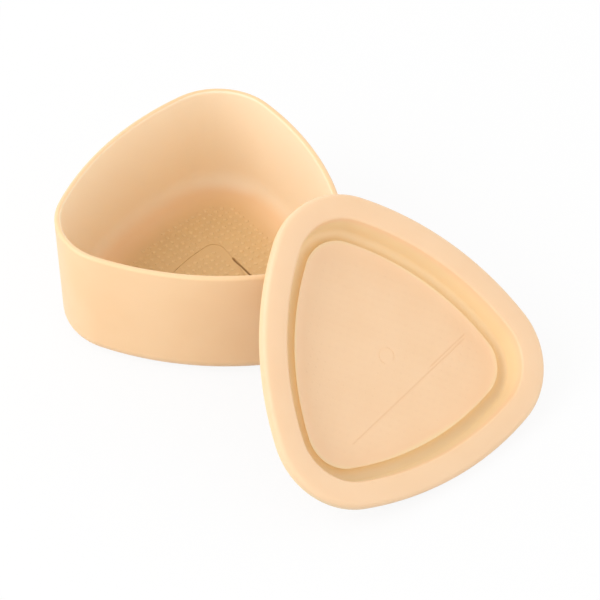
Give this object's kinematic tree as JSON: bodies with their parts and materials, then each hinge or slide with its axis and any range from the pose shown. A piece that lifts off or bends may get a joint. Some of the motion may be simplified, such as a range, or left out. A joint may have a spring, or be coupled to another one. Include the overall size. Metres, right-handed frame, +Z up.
{
  "type": "rice mold press",
  "caption": "Deep rounded-triangle plastic mold for shaping rice, with a press lid whose recessed plug fits the mold and which stands beside it, leaning on its rim.",
  "frame": {"origin": "middle of the mold's flat base, on the surface that it stands on", "axes": "+Z up out of the mold's mouth, +Y towards one corner of the triangle, +X to the right seen from the front"},
  "size_m": [0.1577, 0.1492, 0.0616],
  "materials": {
    "mold_plastic": "satin moulded plastic, pale peach",
    "lid_plastic": "satin moulded plastic, pale peach"
  },
  "bodies": {
    "mold": {"mold_box": "mold_plastic"},
    "lid": {"press_lid": "lid_plastic"}
  },
  "joints": [
    {"name": "lid_lift", "type": "slide", "parent": "mold", "child": "lid", "axis": [0, 0, 1], "range_m": [0, 0.12]}
  ]
}
